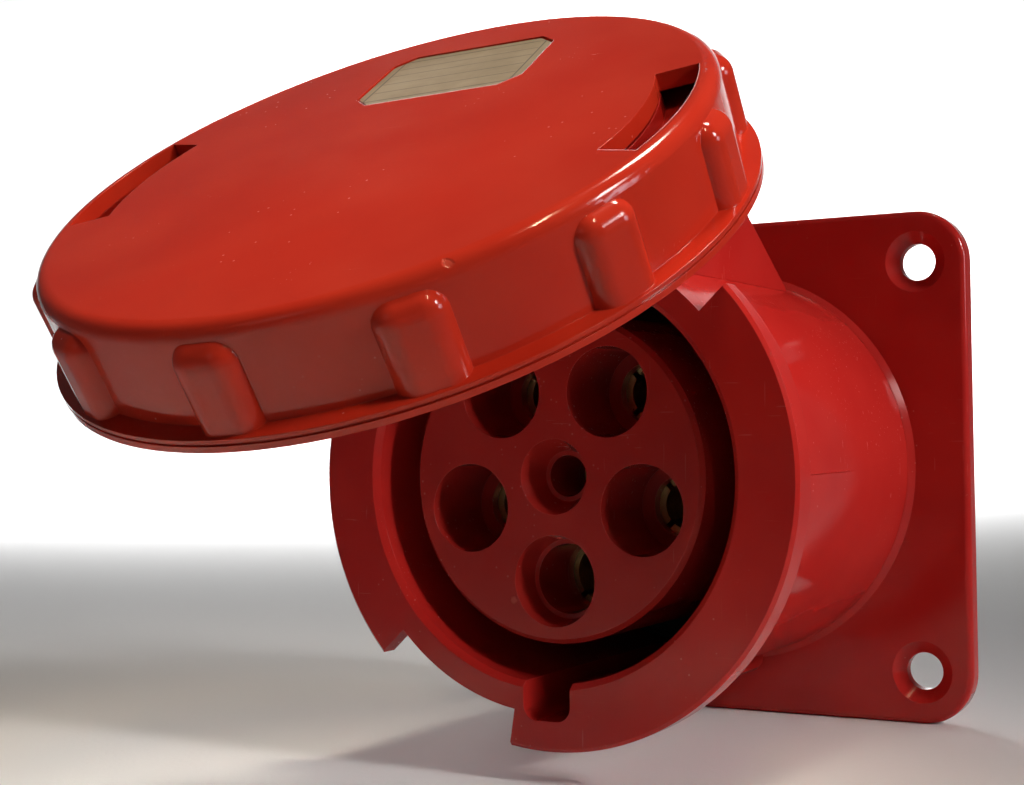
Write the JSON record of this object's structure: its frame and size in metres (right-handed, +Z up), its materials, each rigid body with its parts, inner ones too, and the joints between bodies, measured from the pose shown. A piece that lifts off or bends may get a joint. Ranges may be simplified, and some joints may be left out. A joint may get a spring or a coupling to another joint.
{
  "type": "industrial panel socket",
  "caption": "Square-plate panel socket with a long round body, bayonet flange, recessed pin holes and a hinged, ribbed bayonet cap standing open.",
  "frame": {"origin": "centre of the four mounting holes, on the back face of the plate", "axes": "X right as seen from the front, +Y into the panel, +Z up; the mouth faces -Y"},
  "size_m": [0.1044, 0.1756, 0.1245],
  "materials": {
    "red_housing": "gloss red moulding",
    "red_carrier": "satin red moulding",
    "red_lid": "gloss red moulding",
    "red_cap": "gloss red moulding",
    "black_rubber": "matt black",
    "dark_plastic": "matt dark grey",
    "spring_steel": "bright",
    "zinc_steel": "zinc plated",
    "stainless": "polished",
    "brass": "machined",
    "label_foil": "matt beige foil"
  },
  "bodies": {
    "socket": {"socket_housing": "red_housing", "mounting_plate": "red_housing", "bayonet_flange": "red_housing", "hinge_neck": "red_housing", "panel_seal": "black_rubber", "plug_seal": "black_rubber", "contact_carrier": "red_carrier", "pin_guide": "red_carrier", "sleeve_block": "red_carrier", "block_ring": "red_carrier", "rear_retainer": "dark_plastic", "contact_springs": "spring_steel", "clamp_screws": "zinc_steel", "carrier_screws": "zinc_steel", "retainer_screws": "zinc_steel", "hinge_pin": "stainless", "pin_clips": "spring_steel", "phase_contact_l1": "brass", "phase_contact_l2": "brass", "phase_contact_l3": "brass", "neutral_contact": "brass", "earth_contact": "brass", "pilot_contact": "brass"},
    "lid": {"lid_plate": "red_lid", "lid_seal": "black_rubber"},
    "cap": {"bayonet_cap": "red_cap", "cap_retaining_ring": "spring_steel", "wave_washer": "spring_steel", "rating_label": "label_foil"}
  },
  "joints": [
    {"name": "lid_hinge", "type": "hinge", "parent": "socket", "child": "lid", "pos_m": [0, -0.0608, 0.0602], "axis": [-1, 0, 0], "range_deg": [-56.15, 45]},
    {"name": "cap_turn", "type": "hinge", "parent": "lid", "child": "cap", "pos_m": [0, -0.1211, 0.04203], "axis": [0, -0.557, 0.8305], "range_deg": [-45, 0]}
  ]
}
